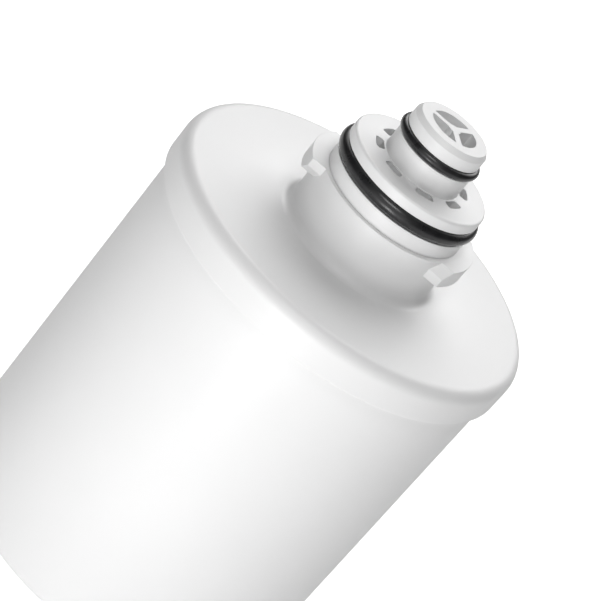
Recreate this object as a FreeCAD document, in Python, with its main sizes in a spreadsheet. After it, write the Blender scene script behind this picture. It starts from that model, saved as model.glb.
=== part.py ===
"""Sealed quick-change water filter cartridge, in millimetres.

+Z runs up the axis to the outlet spigot. The origin is the middle of the flat bottom face.
The two bayonet lugs point along +X and -X.
"""
import FreeCAD, Part
import math
import os

import Sketcher

# Driving dimensions: (name, value in millimetres, degrees or a count, what it is).
DIMENSIONS = [
    ("shell_radius", 38.7, "outside of the shell"),
    ("shell_wall", 2.2, "side wall of the shell"),
    ("shell_floor", 2.8, "bottom wall of the shell"),
    ("shell_foot_round", 2.8, "outside round at the bottom edge"),
    ("shell_inner_round", 1.6, "inside round at the bottom"),
    ("shell_exposed_height", 78.3, "from the bottom face to the lower edge of the cap's skirt"),
    ("shell_rim_engagement", 4.4, "how far the shell's rim goes up inside the cap"),
    ("weld_gap", 0.05, "radial gap of the welded joints"),
    ("skirt_wall", 1.25, "wall of the cap's skirt outside the shell"),
    ("skirt_height", 7.6, "from the skirt's lower edge to the rim"),
    ("skirt_round", 2.63, "round between the skirt and the shoulder"),
    ("cap_wall", 2.6, "thickness of the shoulder"),
    ("shoulder_fall", 0.4, "how much lower the shoulder is at the neck than at the rim"),
    ("neck_wall", 2.4, "wall of the neck"),
    ("neck_height", 11.2, "from the rim to the top of the neck"),
    ("neck_root_round", 2.0, "round between the shoulder and the neck"),
    ("inner_hub_depth", 4.0, "how far the neck reaches below the shoulder's underside"),
    ("lug_count", 2, "bayonet lugs"),
    ("lug_reach", 2.7, "how far the bayonet lugs stand out of the neck"),
    ("lug_half_width", 9.3, "half the width of a lug across its end faces"),
    ("lug_height", 3.8, "thickness of a lug along the axis"),
    ("lug_chamfer", 1.9, "lead-in chamfers of a lug"),
    ("neck_ledge", 1.0, "how far the nose's band is set in from the neck"),
    ("band_height", 3.25, "from the top of the neck to the large gland"),
    ("large_ring_section", 3.1, "diameter of the large O-ring's cord"),
    ("large_ring_slack", 0.05, "spare width of the large gland"),
    ("large_ring_stand_out", 0.75, "how far the large O-ring stands out of the band"),
    ("flange_setback", 0.1, "how far the flange is set in from the band"),
    ("flange_height", 2.4, "nose flange along the axis"),
    ("flange_round", 0.6, "round at the top edge of the flange"),
    ("spigot_height", 4.75, "from the flange to the small gland"),
    ("small_ring_section", 1.95, "diameter of the small O-ring's cord"),
    ("small_ring_slack", 0.1, "spare width of the small gland"),
    ("small_ring_stand_out", 0.65, "how far the small O-ring stands out of the spigot"),
    ("tip_setback", 0.2, "how far the spigot's tip is set in from the spigot"),
    ("tip_height", 3.5, "from the small gland to the end face"),
    ("tip_chamfer", 0.7, "chamfer at the end face across the axis"),
    ("tip_chamfer_height", 1.1, "chamfer at the end face along the axis"),
    ("outlet_radius", 5.0, "outlet bore"),
    ("outlet_hub_radius", 1.35, "hub where the outlet's ribs meet"),
    ("outlet_rib", 1.4, "thickness of the outlet's ribs"),
    ("outlet_rib_count", 3, "ribs of the outlet"),
    ("outlet_rib_depth", 9.0, "ribs along the axis"),
    ("socket_step", 1.35, "how much wider the element's socket is than the outlet bore"),
    ("tube_wall", 2.05, "wall of the nose's tube round the socket"),
    ("slot_ledge", 0.35, "from the spigot to the inner wall of the inlet slots"),
    ("slot_width", 2.05, "inlet slots across"),
    ("slot_half_angle", 12.2, "half the angle of one inlet slot"),
    ("slot_count", 8, "inlet slots"),
    ("slot_corner", 0.4, "corner round of the inlet slots"),
    ("chamber_margin", 0.65, "from the inlet slots to the nose's sleeve"),
    ("sleeve_wall", 2.4, "wall of the nose's sleeve in the neck"),
    ("sleeve_depth", 10.0, "how far the sleeve goes down into the neck"),
    ("socket_depth", 11.0, "depth of the element's socket"),
    ("socket_mouth_gap", 1.6, "from the socket's mouth to the element's end cap"),
    ("inlet_gap", 1.8, "from the neck's lower end to the element's end cap"),
    ("element_flow_gap", 4.9, "from the element's end caps to the shell"),
    ("element_spigot_clearance", 0.2, "radial clearance of the element's spigot"),
    ("element_spigot_tip_gap", 0.8, "from the end of the element's spigot to the socket's end"),
    ("element_bore_radius", 3.0, "bore of the element's spigot"),
    ("element_ring_section", 1.8, "diameter of the element's O-ring cords"),
    ("element_ring_slack", 0.1, "spare width of the element's glands"),
    ("element_ring_tip_land", 1.2, "from the spigot's end to the upper gland"),
    ("element_ring_land", 1.5, "between the element's two glands"),
    ("element_rim_wall", 1.0, "wall of the end caps' rims"),
    ("element_rim_height", 4.0, "rims of the end caps along the axis"),
    ("element_plate", 1.8, "plates of the end caps"),
    ("element_boss_clearance", 0.2, "radial clearance of the end caps' bosses in the core"),
    ("element_boss_wall", 1.6, "wall of the bottom cap's boss"),
    ("element_boss_depth", 4.0, "bosses of the end caps along the axis"),
    ("bond_thickness", 0.8, "adhesive between the block and an end cap"),
    ("net_gap", 0.2, "from the guard net to the rims"),
    ("net_thickness", 0.8, "guard net"),
    ("net_strand", 1.6, "strands between the windows of the guard net"),
    ("net_rows", 7, "rows of windows of the guard net"),
    ("net_columns", 20, "windows round the guard net"),
    ("prefilter_thickness", 0.6, "fleece around the block"),
    ("core_fleece_thickness", 0.6, "fleece inside the block"),
    ("core_radius", 7.0, "outside of the core tube"),
    ("core_wall", 1.2, "wall of the core tube"),
    ("core_hole_radius", 1.2, "holes of the core tube"),
    ("core_hole_rows", 9, "rows of holes of the core tube"),
    ("core_hole_columns", 6, "holes round the core tube"),
    ("foot_height", 3.6, "element support between the shell's floor and the bottom cap"),
    ("foot_ring_radius", 22.0, "outside of the support's ring"),
    ("foot_ring_wall", 3.0, "wall of the support's ring"),
    ("foot_arm", 3.0, "thickness of the support's arms"),
    ("foot_arm_count", 6, "arms of the support"),
    ("foot_arm_gap", 0.4, "from the support's arms to the shell"),
    ("foot_hub_radius", 6.0, "hub of the support"),
]


def on_sheet(name):
    """The expression that reads one driving dimension."""
    return "sizes." + name


def total(*terms):
    """The sum of expressions; a term that starts with a minus sign is taken away."""
    text = ""
    for term in terms:
        if term.startswith("-"):
            text += " - (" + term[1:] + ")"
        elif text:
            text += " + (" + term + ")"
        else:
            text = "(" + term + ")"
    return text


S = {name: on_sheet(name) for name, value, note in DIMENSIONS}

# Radii that follow from the driving dimensions, from the outlet bore outwards.
SOCKET_RADIUS = total(S["outlet_radius"], S["socket_step"])
SPIGOT_RADIUS = total(SOCKET_RADIUS, S["tube_wall"])
SLOT_INNER = total(SPIGOT_RADIUS, S["slot_ledge"])
SLOT_OUTER = total(SLOT_INNER, S["slot_width"])
SLEEVE_BORE = total(SLOT_OUTER, S["chamber_margin"])
SLEEVE_RADIUS = total(SLEEVE_BORE, S["sleeve_wall"])
NECK_BORE = total(SLEEVE_RADIUS, S["weld_gap"])
NECK_RADIUS = total(NECK_BORE, S["neck_wall"])
LUG_RADIUS = total(NECK_RADIUS, S["lug_reach"])
BAND_RADIUS = total(NECK_RADIUS, "-" + S["neck_ledge"])
FLANGE_RADIUS = total(BAND_RADIUS, "-" + S["flange_setback"])
LARGE_RING_RADIUS = total(BAND_RADIUS, S["large_ring_stand_out"])
LARGE_GLAND_FLOOR = total(LARGE_RING_RADIUS, "-" + S["large_ring_section"])
SMALL_RING_RADIUS = total(SPIGOT_RADIUS, S["small_ring_stand_out"])
SMALL_GLAND_FLOOR = total(SMALL_RING_RADIUS, "-" + S["small_ring_section"])
TIP_RADIUS = total(SPIGOT_RADIUS, "-" + S["tip_setback"])
TIP_FACE_RADIUS = total(TIP_RADIUS, "-" + S["tip_chamfer"])

# Radii of the shell and, inwards from it, of the filter element.
SHELL_BORE = total(S["shell_radius"], "-" + S["shell_wall"])
SKIRT_BORE = total(S["shell_radius"], S["weld_gap"])
SKIRT_RADIUS = total(SKIRT_BORE, S["skirt_wall"])
ELEMENT_RADIUS = total(SHELL_BORE, "-" + S["element_flow_gap"])
ELEMENT_RIM_BORE = total(ELEMENT_RADIUS, "-" + S["element_rim_wall"])
NET_RADIUS = total(ELEMENT_RIM_BORE, "-" + S["net_gap"])
NET_BORE = total(NET_RADIUS, "-" + S["net_thickness"])
BLOCK_RADIUS = total(NET_BORE, "-" + S["prefilter_thickness"])
BLOCK_BORE = total(S["core_radius"], S["core_fleece_thickness"])
CORE_BORE = total(S["core_radius"], "-" + S["core_wall"])
BOSS_RADIUS = total(CORE_BORE, "-" + S["element_boss_clearance"])
ELEMENT_SPIGOT_RADIUS = total(SOCKET_RADIUS, "-" + S["element_spigot_clearance"])
ELEMENT_GLAND_FLOOR = total(SOCKET_RADIUS, "-" + S["element_ring_section"])
ELEMENT_GLAND_WIDTH = total(S["element_ring_section"], S["element_ring_slack"])

# Heights of the outside, from the bottom face upwards.
SHELL_TOP = total(S["shell_exposed_height"], S["shell_rim_engagement"])
RIM_TOP = total(S["shell_exposed_height"], S["skirt_height"])
SHOULDER_FOOT = total(RIM_TOP, "-" + S["shoulder_fall"])
SHOULDER_UNDERSIDE = total(SHOULDER_FOOT, "-" + S["cap_wall"])
NECK_TOP = total(RIM_TOP, S["neck_height"])
LUG_BOTTOM = total(NECK_TOP, "-" + S["lug_height"])
LARGE_GLAND_BOTTOM = total(NECK_TOP, S["band_height"])
LARGE_GLAND_WIDTH = total(S["large_ring_section"], S["large_ring_slack"])
FLANGE_BOTTOM = total(LARGE_GLAND_BOTTOM, LARGE_GLAND_WIDTH)
FLANGE_TOP = total(FLANGE_BOTTOM, S["flange_height"])
SMALL_GLAND_BOTTOM = total(FLANGE_TOP, S["spigot_height"])
SMALL_GLAND_WIDTH = total(S["small_ring_section"], S["small_ring_slack"])
TIP_BOTTOM = total(SMALL_GLAND_BOTTOM, SMALL_GLAND_WIDTH)
TIP_TOP = total(TIP_BOTTOM, S["tip_height"])

# Heights of the inside. The block fills what the shell, the neck and the end caps leave.
SLEEVE_BOTTOM = total(NECK_TOP, "-" + S["sleeve_depth"])
HUB_BOTTOM = total(SHOULDER_UNDERSIDE, "-" + S["inner_hub_depth"])
TOP_PLATE_TOP = total(HUB_BOTTOM, "-" + S["inlet_gap"])
TOP_PLATE_BOTTOM = total(TOP_PLATE_TOP, "-" + S["element_plate"])
BLOCK_TOP = total(TOP_PLATE_BOTTOM, "-" + S["bond_thickness"])
FOOT_TOP = total(S["shell_floor"], S["foot_height"])
BOTTOM_PLATE_TOP = total(FOOT_TOP, S["element_plate"])
BLOCK_BOTTOM = total(BOTTOM_PLATE_TOP, S["bond_thickness"])
BLOCK_HEIGHT = total(BLOCK_TOP, "-" + BLOCK_BOTTOM)
SOCKET_MOUTH = total(TOP_PLATE_TOP, S["socket_mouth_gap"])
SOCKET_END = total(SOCKET_MOUTH, S["socket_depth"])
ELEMENT_SPIGOT_TOP = total(SOCKET_END, "-" + S["element_spigot_tip_gap"])


def corner(across, up, rounding=None):
    """A corner of an outline. A rounding is only for a corner whose sides run along the axes."""
    return {"across": across, "up": up, "rounding": rounding}


def arc_from(across, up, middle_across, middle_up, turn):
    """A corner from which an arc about the given middle leads to the next corner."""
    return {"across": across, "up": up, "rounding": None, "middle": (middle_across, middle_up), "turn": turn}


def side_sign(here, other):
    """The axis direction, (x, y), from one point to another along the longer way."""
    step_x = other[0] - here[0]
    step_y = other[1] - here[1]
    if abs(step_x) > abs(step_y):
        return (math.copysign(1, step_x), 0)
    return (0, math.copysign(1, step_y))


def moved(text, amount, sign):
    """An expression moved by an amount, forwards or backwards or not at all."""
    if sign > 0:
        return total(text, amount)
    if sign < 0:
        return total(text, "-" + amount)
    return text


def with_roundings(sketch, corners):
    """Replaces each rounded corner by the two ends of its arc."""
    places = [(value_of(sketch, c["across"]), value_of(sketch, c["up"])) for c in corners]
    points = []
    for index, item in enumerate(corners):
        if item["rounding"] is None:
            points.append(item)
            continue
        here = places[index]
        back = side_sign(here, places[index - 1])
        ahead = side_sign(here, places[(index + 1) % len(corners)])
        size = item["rounding"]
        start = (moved(item["across"], size, back[0]), moved(item["up"], size, back[1]))
        end = (moved(item["across"], size, ahead[0]), moved(item["up"], size, ahead[1]))
        middle = (
            moved(moved(item["across"], size, back[0]), size, ahead[0]),
            moved(moved(item["up"], size, back[1]), size, ahead[1]),
        )
        turn = -1 if back[0] * ahead[1] - back[1] * ahead[0] > 0 else 1
        points.append(arc_from(start[0], start[1], middle[0], middle[1], turn))
        points.append(corner(end[0], end[1]))
    return points


def value_of(holder, expression):
    """The number that an expression stands for now."""
    value = holder.evalExpression(expression)
    return float(getattr(value, "Value", value))


def arc_shape(start, end, middle, turn):
    """The arc from start to end about a middle, and whether its own start is the outline's start."""
    radius = math.hypot(start[0] - middle[0], start[1] - middle[1])
    first = math.atan2(start[1] - middle[1], start[0] - middle[0])
    last = math.atan2(end[1] - middle[1], end[0] - middle[0])
    circle = Part.Circle(FreeCAD.Vector(middle[0], middle[1], 0), FreeCAD.Vector(0, 0, 1), radius)
    if turn > 0:
        return Part.ArcOfCircle(circle, first, last)
    return Part.ArcOfCircle(circle, last, first)


def pin_coordinate(sketch, direction, geometry, point, expression):
    """Binds one coordinate of a sketch point to an expression."""
    number = value_of(sketch, expression)
    index = sketch.addConstraint(Sketcher.Constraint(direction, -1, 1, geometry, point, number))
    sketch.setExpression("Constraints[%d]" % index, expression)


def draw(sketch, corners):
    """Draws a closed outline and binds every corner of it to the sheet."""
    points = with_roundings(sketch, corners)
    places = [(value_of(sketch, p["across"]), value_of(sketch, p["up"])) for p in points]
    ends = []
    for index, item in enumerate(points):
        start = places[index]
        end = places[(index + 1) % len(points)]
        if "middle" not in item:
            line = Part.LineSegment(FreeCAD.Vector(*start, 0), FreeCAD.Vector(*end, 0))
            ends.append((sketch.addGeometry(line, False), 1, 2))
            continue
        middle = (value_of(sketch, item["middle"][0]), value_of(sketch, item["middle"][1]))
        geometry = sketch.addGeometry(arc_shape(start, end, middle, item["turn"]), False)
        ends.append((geometry, 1, 2) if item["turn"] > 0 else (geometry, 2, 1))
    for index, (geometry, first, last) in enumerate(ends):
        following = ends[(index + 1) % len(ends)]
        sketch.addConstraint(Sketcher.Constraint("Coincident", geometry, last, following[0], following[1]))
    for index, item in enumerate(points):
        geometry, first, last = ends[index]
        for direction, text, axis in (("DistanceX", item["across"], -2), ("DistanceY", item["up"], -1)):
            if text == "0":
                sketch.addConstraint(Sketcher.Constraint("PointOnObject", geometry, first, axis))
            else:
                pin_coordinate(sketch, direction, geometry, first, text)
        if "middle" in item:
            start = places[index]
            end = places[(index + 1) % len(points)]
            along_x = abs(end[1] - start[1]) > abs(end[0] - start[0])
            direction = "DistanceX" if along_x else "DistanceY"
            pin_coordinate(sketch, direction, geometry, 3, item["middle"][0 if along_x else 1])


def origin_feature(body, role):
    """One of a body's own origin planes or axes."""
    for feature in body.Origin.OriginFeatures:
        if feature.Role == role:
            return feature
    raise ValueError("no origin feature " + role)


def new_sketch(body, name, role, height=None):
    """A sketch on one of the body's origin planes, lifted by an expression if one is given."""
    sketch = body.newObject("Sketcher::SketchObject", name)
    sketch.AttachmentSupport = (origin_feature(body, role), [""])
    sketch.MapMode = "FlatFace"
    if height is not None:
        sketch.setExpression(".AttachmentOffset.Base.z", height)
    return sketch


def new_body(doc, label):
    """A PartDesign body whose label is the name of its node."""
    body = doc.addObject("PartDesign::Body", label)
    body.Label = label
    return body


def turned(body, name, corners, kind="PartDesign::Revolution"):
    """An outline in the XZ plane turned all the way round the Z axis."""
    sketch = new_sketch(body, name + "_outline", "XZ_Plane")
    draw(sketch, corners)
    feature = body.newObject(kind, name)
    feature.Profile = sketch
    feature.ReferenceAxis = (sketch, ["V_Axis"])
    feature.Angle = 360
    body.Document.recompute()
    return feature


def patterned(body, name, feature, count):
    """A feature repeated evenly round the Z axis."""
    pattern = body.newObject("PartDesign::PolarPattern", name)
    pattern.Originals = [feature]
    pattern.Axis = (origin_feature(body, "Z_Axis"), [""])
    pattern.Angle = 360
    pattern.setExpression("Occurrences", count)
    body.Tip = pattern
    body.Document.recompute()
    return pattern


def ring_outline(inner, outer, bottom, top):
    """The section of a plain ring or tube."""
    return [corner(inner, bottom), corner(outer, bottom), corner(outer, top), corner(inner, top)]


def plain_ring(doc, label, inner, outer, bottom, top):
    """A plain ring or tube in a body of its own."""
    body = new_body(doc, label)
    turned(body, label + "_wall", ring_outline(inner, outer, bottom, top))
    return body


def o_ring(doc, label, outside, section, height):
    """An O-ring by its outside radius, its cord's diameter and the height of its middle."""
    ring = doc.addObject("Part::Torus", label)
    ring.Label = label
    ring.setExpression("Radius1", total(outside, "-" + section + " / 2"))
    ring.setExpression("Radius2", section + " / 2")
    ring.setExpression(".Placement.Base.z", height)
    return ring


def body_shell(doc):
    """The closed cup that holds the filter element."""
    body = new_body(doc, "body_shell")
    turned(body, "shell_wall", [
        corner("0", "0"),
        corner(S["shell_radius"], "0", S["shell_foot_round"]),
        corner(S["shell_radius"], SHELL_TOP),
        corner(SHELL_BORE, SHELL_TOP),
        corner(SHELL_BORE, S["shell_floor"], S["shell_inner_round"]),
        corner("0", S["shell_floor"]),
    ])
    return body


def lug_corners():
    """The side view of the lug on +X: a block with two opposite lead-in chamfers."""
    half = S["lug_half_width"]
    cut = S["lug_chamfer"]
    return [
        corner("-" + half, LUG_BOTTOM),
        corner(total(half, "-" + cut), LUG_BOTTOM),
        corner(half, total(LUG_BOTTOM, cut)),
        corner(half, NECK_TOP),
        corner(total("-" + half, cut), NECK_TOP),
        corner("-" + half, total(NECK_TOP, "-" + cut)),
    ]


def end_cap(doc):
    """The spin-welded cap: skirt, shoulder, neck and the two bayonet lugs."""
    body = new_body(doc, "end_cap")
    sketch = new_sketch(body, "lug_outline", "YZ_Plane")
    draw(sketch, lug_corners())
    lug = body.newObject("PartDesign::Pad", "lug")
    lug.Profile = sketch
    lug.setExpression("Length", total(LUG_RADIUS, S["lug_height"]))
    doc.recompute()
    patterned(body, "lug_pair", lug, S["lug_count"])
    spare = total(LUG_RADIUS, S["lug_half_width"], S["lug_height"])
    turned(body, "lug_reach", [
        corner(LUG_RADIUS, total(LUG_BOTTOM, "-" + S["lug_chamfer"])),
        corner(spare, total(LUG_BOTTOM, "-" + S["lug_chamfer"])),
        corner(spare, total(NECK_TOP, S["lug_chamfer"])),
        corner(LUG_RADIUS, total(NECK_TOP, S["lug_chamfer"])),
    ], "PartDesign::Groove")
    turned(body, "cap_wall", [
        corner("0", HUB_BOTTOM),
        corner(NECK_RADIUS, HUB_BOTTOM),
        corner(NECK_RADIUS, SHOULDER_UNDERSIDE),
        corner(SHELL_BORE, total(RIM_TOP, "-" + S["cap_wall"])),
        corner(SHELL_BORE, SHELL_TOP),
        corner(SKIRT_BORE, SHELL_TOP),
        corner(SKIRT_BORE, S["shell_exposed_height"]),
        corner(SKIRT_RADIUS, S["shell_exposed_height"]),
        corner(SKIRT_RADIUS, RIM_TOP, S["skirt_round"]),
        corner(total(NECK_RADIUS, S["neck_root_round"]), SHOULDER_FOOT),
        corner(NECK_RADIUS, total(SHOULDER_FOOT, S["neck_root_round"])),
        corner(NECK_RADIUS, NECK_TOP),
        corner("0", NECK_TOP),
    ])
    turned(body, "neck_bore", ring_outline("0", NECK_BORE, HUB_BOTTOM, NECK_TOP),
           "PartDesign::Groove")
    return body


def nose_wall(body):
    """The nose turned in one piece: band, both glands, flange, spigot and the tubes below."""
    tip_bevel_foot = total(TIP_TOP, "-" + S["tip_chamfer_height"])
    ribs_bottom = total(TIP_TOP, "-" + S["outlet_rib_depth"])
    turned(body, "nose_wall", [
        corner("0", ribs_bottom),
        corner(S["outlet_radius"], ribs_bottom),
        corner(S["outlet_radius"], SOCKET_END),
        corner(SOCKET_RADIUS, SOCKET_END),
        corner(SOCKET_RADIUS, SOCKET_MOUTH),
        corner(SPIGOT_RADIUS, SOCKET_MOUTH),
        corner(SPIGOT_RADIUS, FLANGE_BOTTOM),
        corner(SLEEVE_BORE, FLANGE_BOTTOM),
        corner(SLEEVE_BORE, SLEEVE_BOTTOM),
        corner(SLEEVE_RADIUS, SLEEVE_BOTTOM),
        corner(SLEEVE_RADIUS, NECK_TOP),
        corner(BAND_RADIUS, NECK_TOP),
        corner(BAND_RADIUS, LARGE_GLAND_BOTTOM),
        corner(LARGE_GLAND_FLOOR, LARGE_GLAND_BOTTOM),
        corner(LARGE_GLAND_FLOOR, FLANGE_BOTTOM),
        corner(FLANGE_RADIUS, FLANGE_BOTTOM),
        corner(FLANGE_RADIUS, FLANGE_TOP, S["flange_round"]),
        corner(SPIGOT_RADIUS, FLANGE_TOP),
        corner(SPIGOT_RADIUS, SMALL_GLAND_BOTTOM),
        corner(SMALL_GLAND_FLOOR, SMALL_GLAND_BOTTOM),
        corner(SMALL_GLAND_FLOOR, TIP_BOTTOM),
        corner(TIP_RADIUS, TIP_BOTTOM),
        corner(TIP_RADIUS, tip_bevel_foot),
        corner(TIP_FACE_RADIUS, TIP_TOP),
        corner("0", TIP_TOP),
    ])


def polar_x(radius, angle):
    """The X of a point given by its radius and angle."""
    return "(%s) * cos(%s)" % (radius, angle)


def polar_y(radius, angle):
    """The Y of a point given by its radius and angle."""
    return "(%s) * sin(%s)" % (radius, angle)


def cut_through(body, name, corners, height, depth):
    """Cuts an outline downwards from a height, and checks that it cut something."""
    before = body.Shape.Volume
    sketch = new_sketch(body, name + "_outline", "XY_Plane", height)
    draw(sketch, corners)
    pocket = body.newObject("PartDesign::Pocket", name)
    pocket.Profile = sketch
    pocket.setExpression("Length", depth)
    body.Document.recompute()
    if body.Shape.Volume >= before:
        raise RuntimeError(name + " cut nothing")
    return pocket


def outlet_openings(body):
    """Three openings in the spigot's end, which leave ribs at 60, 180 and 300 degrees."""
    outer = S["outlet_radius"]
    inner = S["outlet_hub_radius"]
    outer_angle = "180 deg / %s - asin(%s / 2 / %s)" % (S["outlet_rib_count"], S["outlet_rib"], outer)
    inner_angle = "180 deg / %s - asin(%s / 2 / %s)" % (S["outlet_rib_count"], S["outlet_rib"], inner)
    opening = cut_through(body, "outlet_opening", [
        corner(polar_x(inner, inner_angle), "-" + polar_y(inner, inner_angle)),
        arc_from(polar_x(outer, outer_angle), "-" + polar_y(outer, outer_angle), "0", "0", 1),
        corner(polar_x(outer, outer_angle), polar_y(outer, outer_angle)),
        arc_from(polar_x(inner, inner_angle), polar_y(inner, inner_angle), "0", "0", -1),
    ], TIP_TOP, S["outlet_rib_depth"])
    patterned(body, "outlet_openings", opening, S["outlet_rib_count"])


def upright_edges(shape, inner, outer, bottom, top):
    """The names of the straight upright edges between two radii that span two heights."""
    names = []
    reach = 0.01
    for index, edge in enumerate(shape.Edges):
        box = edge.BoundBox
        if abs(box.ZMin - bottom) > reach or abs(box.ZMax - top) > reach:
            continue
        if box.XLength > reach or box.YLength > reach:
            continue
        radius = math.hypot(box.Center.x, box.Center.y)
        if inner - reach < radius < outer + reach:
            names.append("Edge%d" % (index + 1))
    return names


def inlet_slots(body):
    """The ring of curved inlet slots in the flange, with rounded corners."""
    angle = S["slot_half_angle"] + " * 1 deg"
    inner = SLOT_INNER
    outer = SLOT_OUTER
    slot = cut_through(body, "inlet_slot", [
        corner(polar_x(inner, angle), "-" + polar_y(inner, angle)),
        arc_from(polar_x(outer, angle), "-" + polar_y(outer, angle), "0", "0", 1),
        corner(polar_x(outer, angle), polar_y(outer, angle)),
        arc_from(polar_x(inner, angle), polar_y(inner, angle), "0", "0", -1),
    ], FLANGE_TOP, S["flange_height"])
    slot.Profile[0].setExpression(".AttachmentOffset.Rotation.Angle", "180 deg / " + S["slot_count"])
    body.Document.recompute()
    pattern = patterned(body, "inlet_slots", slot, S["slot_count"])
    edges = upright_edges(
        pattern.Shape,
        value_of(body, inner), value_of(body, outer),
        value_of(body, FLANGE_BOTTOM), value_of(body, FLANGE_TOP),
    )
    if not edges:
        raise RuntimeError("the inlet slots have no corners")
    rounds = body.newObject("PartDesign::Fillet", "inlet_slot_corners")
    rounds.Base = (pattern, edges)
    rounds.setExpression("Radius", S["slot_corner"])
    body.Tip = rounds
    body.Document.recompute()


def nose_insert(doc):
    """The nose: inlet slots round a spigot with the ribbed outlet, and the element's socket."""
    body = new_body(doc, "nose_insert")
    nose_wall(body)
    outlet_openings(body)
    inlet_slots(body)
    return body


def end_plate_outline(plate_bottom, plate_top, rim_bottom, rim_top, plate_inner):
    """The section of an end cap's plate with the rim round the element."""
    downward = rim_bottom != plate_bottom
    if downward:
        return [
            corner(plate_inner, plate_bottom),
            corner(ELEMENT_RIM_BORE, plate_bottom),
            corner(ELEMENT_RIM_BORE, rim_bottom),
            corner(ELEMENT_RADIUS, rim_bottom),
            corner(ELEMENT_RADIUS, plate_top),
            corner(plate_inner, plate_top),
        ]
    return [
        corner(plate_inner, plate_bottom),
        corner(ELEMENT_RADIUS, plate_bottom),
        corner(ELEMENT_RADIUS, rim_top),
        corner(ELEMENT_RIM_BORE, rim_top),
        corner(ELEMENT_RIM_BORE, plate_top),
        corner(plate_inner, plate_top),
    ]


def element_ring_height(number):
    """The height of the middle of one of the element's O-rings, counted from the top."""
    top = total(ELEMENT_SPIGOT_TOP, "-" + S["element_ring_tip_land"], "-(" + ELEMENT_GLAND_WIDTH + ") / 2")
    pitch = total(ELEMENT_GLAND_WIDTH, S["element_ring_land"])
    return total(top, "-%d * (%s)" % (number, pitch))


def element_top_cap(doc):
    """The element's upper end cap with its spigot, two glands and a boss in the core."""
    body = new_body(doc, "element_top_cap")
    rim_bottom = total(TOP_PLATE_BOTTOM, "-" + S["element_rim_height"])
    plate = end_plate_outline(TOP_PLATE_BOTTOM, TOP_PLATE_TOP, rim_bottom, TOP_PLATE_TOP,
                              S["element_bore_radius"])
    turned(body, "top_plate", plate)
    boss_bottom = total(TOP_PLATE_BOTTOM, "-" + S["element_boss_depth"])
    turned(body, "top_boss", ring_outline(S["element_bore_radius"], BOSS_RADIUS, boss_bottom,
                                          TOP_PLATE_BOTTOM))
    turned(body, "element_spigot", ring_outline(S["element_bore_radius"], ELEMENT_SPIGOT_RADIUS,
                                                TOP_PLATE_TOP, ELEMENT_SPIGOT_TOP))
    half_gland = "(" + ELEMENT_GLAND_WIDTH + ") / 2"
    for number in range(2):
        middle = element_ring_height(number)
        bottom = total(middle, "-" + half_gland)
        top = total(middle, half_gland)
        turned(body, "element_gland_%d" % (number + 1),
               ring_outline(ELEMENT_GLAND_FLOOR, SOCKET_RADIUS, bottom, top), "PartDesign::Groove")
    return body


def element_bottom_cap(doc):
    """The element's closed lower end cap, with a hollow boss in the core."""
    body = new_body(doc, "element_bottom_cap")
    rim_top = total(BOTTOM_PLATE_TOP, S["element_rim_height"])
    turned(body, "bottom_plate", end_plate_outline(FOOT_TOP, BOTTOM_PLATE_TOP, FOOT_TOP, rim_top, "0"))
    boss_top = total(BOTTOM_PLATE_TOP, S["element_boss_depth"])
    boss_bore = total(BOSS_RADIUS, "-" + S["element_boss_wall"])
    turned(body, "bottom_boss", ring_outline(boss_bore, BOSS_RADIUS, BOTTOM_PLATE_TOP, boss_top))
    return body


def row_height(row, rows):
    """The height of the middle of one of several rows spread evenly along the block."""
    return total(BLOCK_BOTTOM, "(%s) * (%d + 0.5) / %d" % (BLOCK_HEIGHT, row, rows))


def core_tube(doc, sheet):
    """The perforated tube inside the block."""
    body = plain_ring(doc, "core_tube", CORE_BORE, S["core_radius"], BLOCK_BOTTOM, BLOCK_TOP)
    sketch = new_sketch(body, "core_hole_outlines", "XZ_Plane")
    rows = int(sheet.get("core_hole_rows"))
    for row in range(rows):
        height = row_height(row, rows)
        place = FreeCAD.Vector(0, value_of(sketch, height), 0)
        radius = value_of(sketch, S["core_hole_radius"])
        geometry = sketch.addGeometry(Part.Circle(place, FreeCAD.Vector(0, 0, 1), radius), False)
        sketch.addConstraint(Sketcher.Constraint("PointOnObject", geometry, 3, -2))
        pin_coordinate(sketch, "DistanceY", geometry, 3, height)
        index = sketch.addConstraint(Sketcher.Constraint("Radius", geometry, radius))
        sketch.setExpression("Constraints[%d]" % index, S["core_hole_radius"])
    holes = body.newObject("PartDesign::Pocket", "core_holes")
    holes.Profile = sketch
    holes.setExpression("Length", S["core_radius"] + " * 2")
    before = body.Shape.Volume
    doc.recompute()
    if body.Shape.Volume >= before:
        raise RuntimeError("the core holes cut nothing")
    patterned(body, "core_holes_around", holes, S["core_hole_columns"])
    return body


def guard_net(doc, sheet):
    """The open net round the element: a thin tube with rows of windows."""
    body = plain_ring(doc, "guard_net", NET_BORE, NET_RADIUS, BLOCK_BOTTOM, BLOCK_TOP)
    sketch = new_sketch(body, "net_window_outlines", "XZ_Plane")
    rows = int(sheet.get("net_rows"))
    half = total("(%s) * pi / %s" % (NET_BORE, S["net_columns"]), "-" + S["net_strand"] + " / 2")
    half_height = total("(%s) / 2 / %d" % (BLOCK_HEIGHT, rows), "-" + S["net_strand"] + " / 2")
    for row in range(rows):
        bottom = total(row_height(row, rows), "-" + half_height)
        top = total(row_height(row, rows), half_height)
        draw(sketch, [corner(total("-" + half), bottom), corner(half, bottom), corner(half, top),
                      corner(total("-" + half), top)])
    windows = body.newObject("PartDesign::Pocket", "net_windows")
    windows.Profile = sketch
    windows.setExpression("Length", total(NET_RADIUS, S["net_thickness"]))
    before = body.Shape.Volume
    doc.recompute()
    if body.Shape.Volume >= before:
        raise RuntimeError("the net windows cut nothing")
    patterned(body, "net_windows_around", windows, S["net_columns"])
    return body


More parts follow.
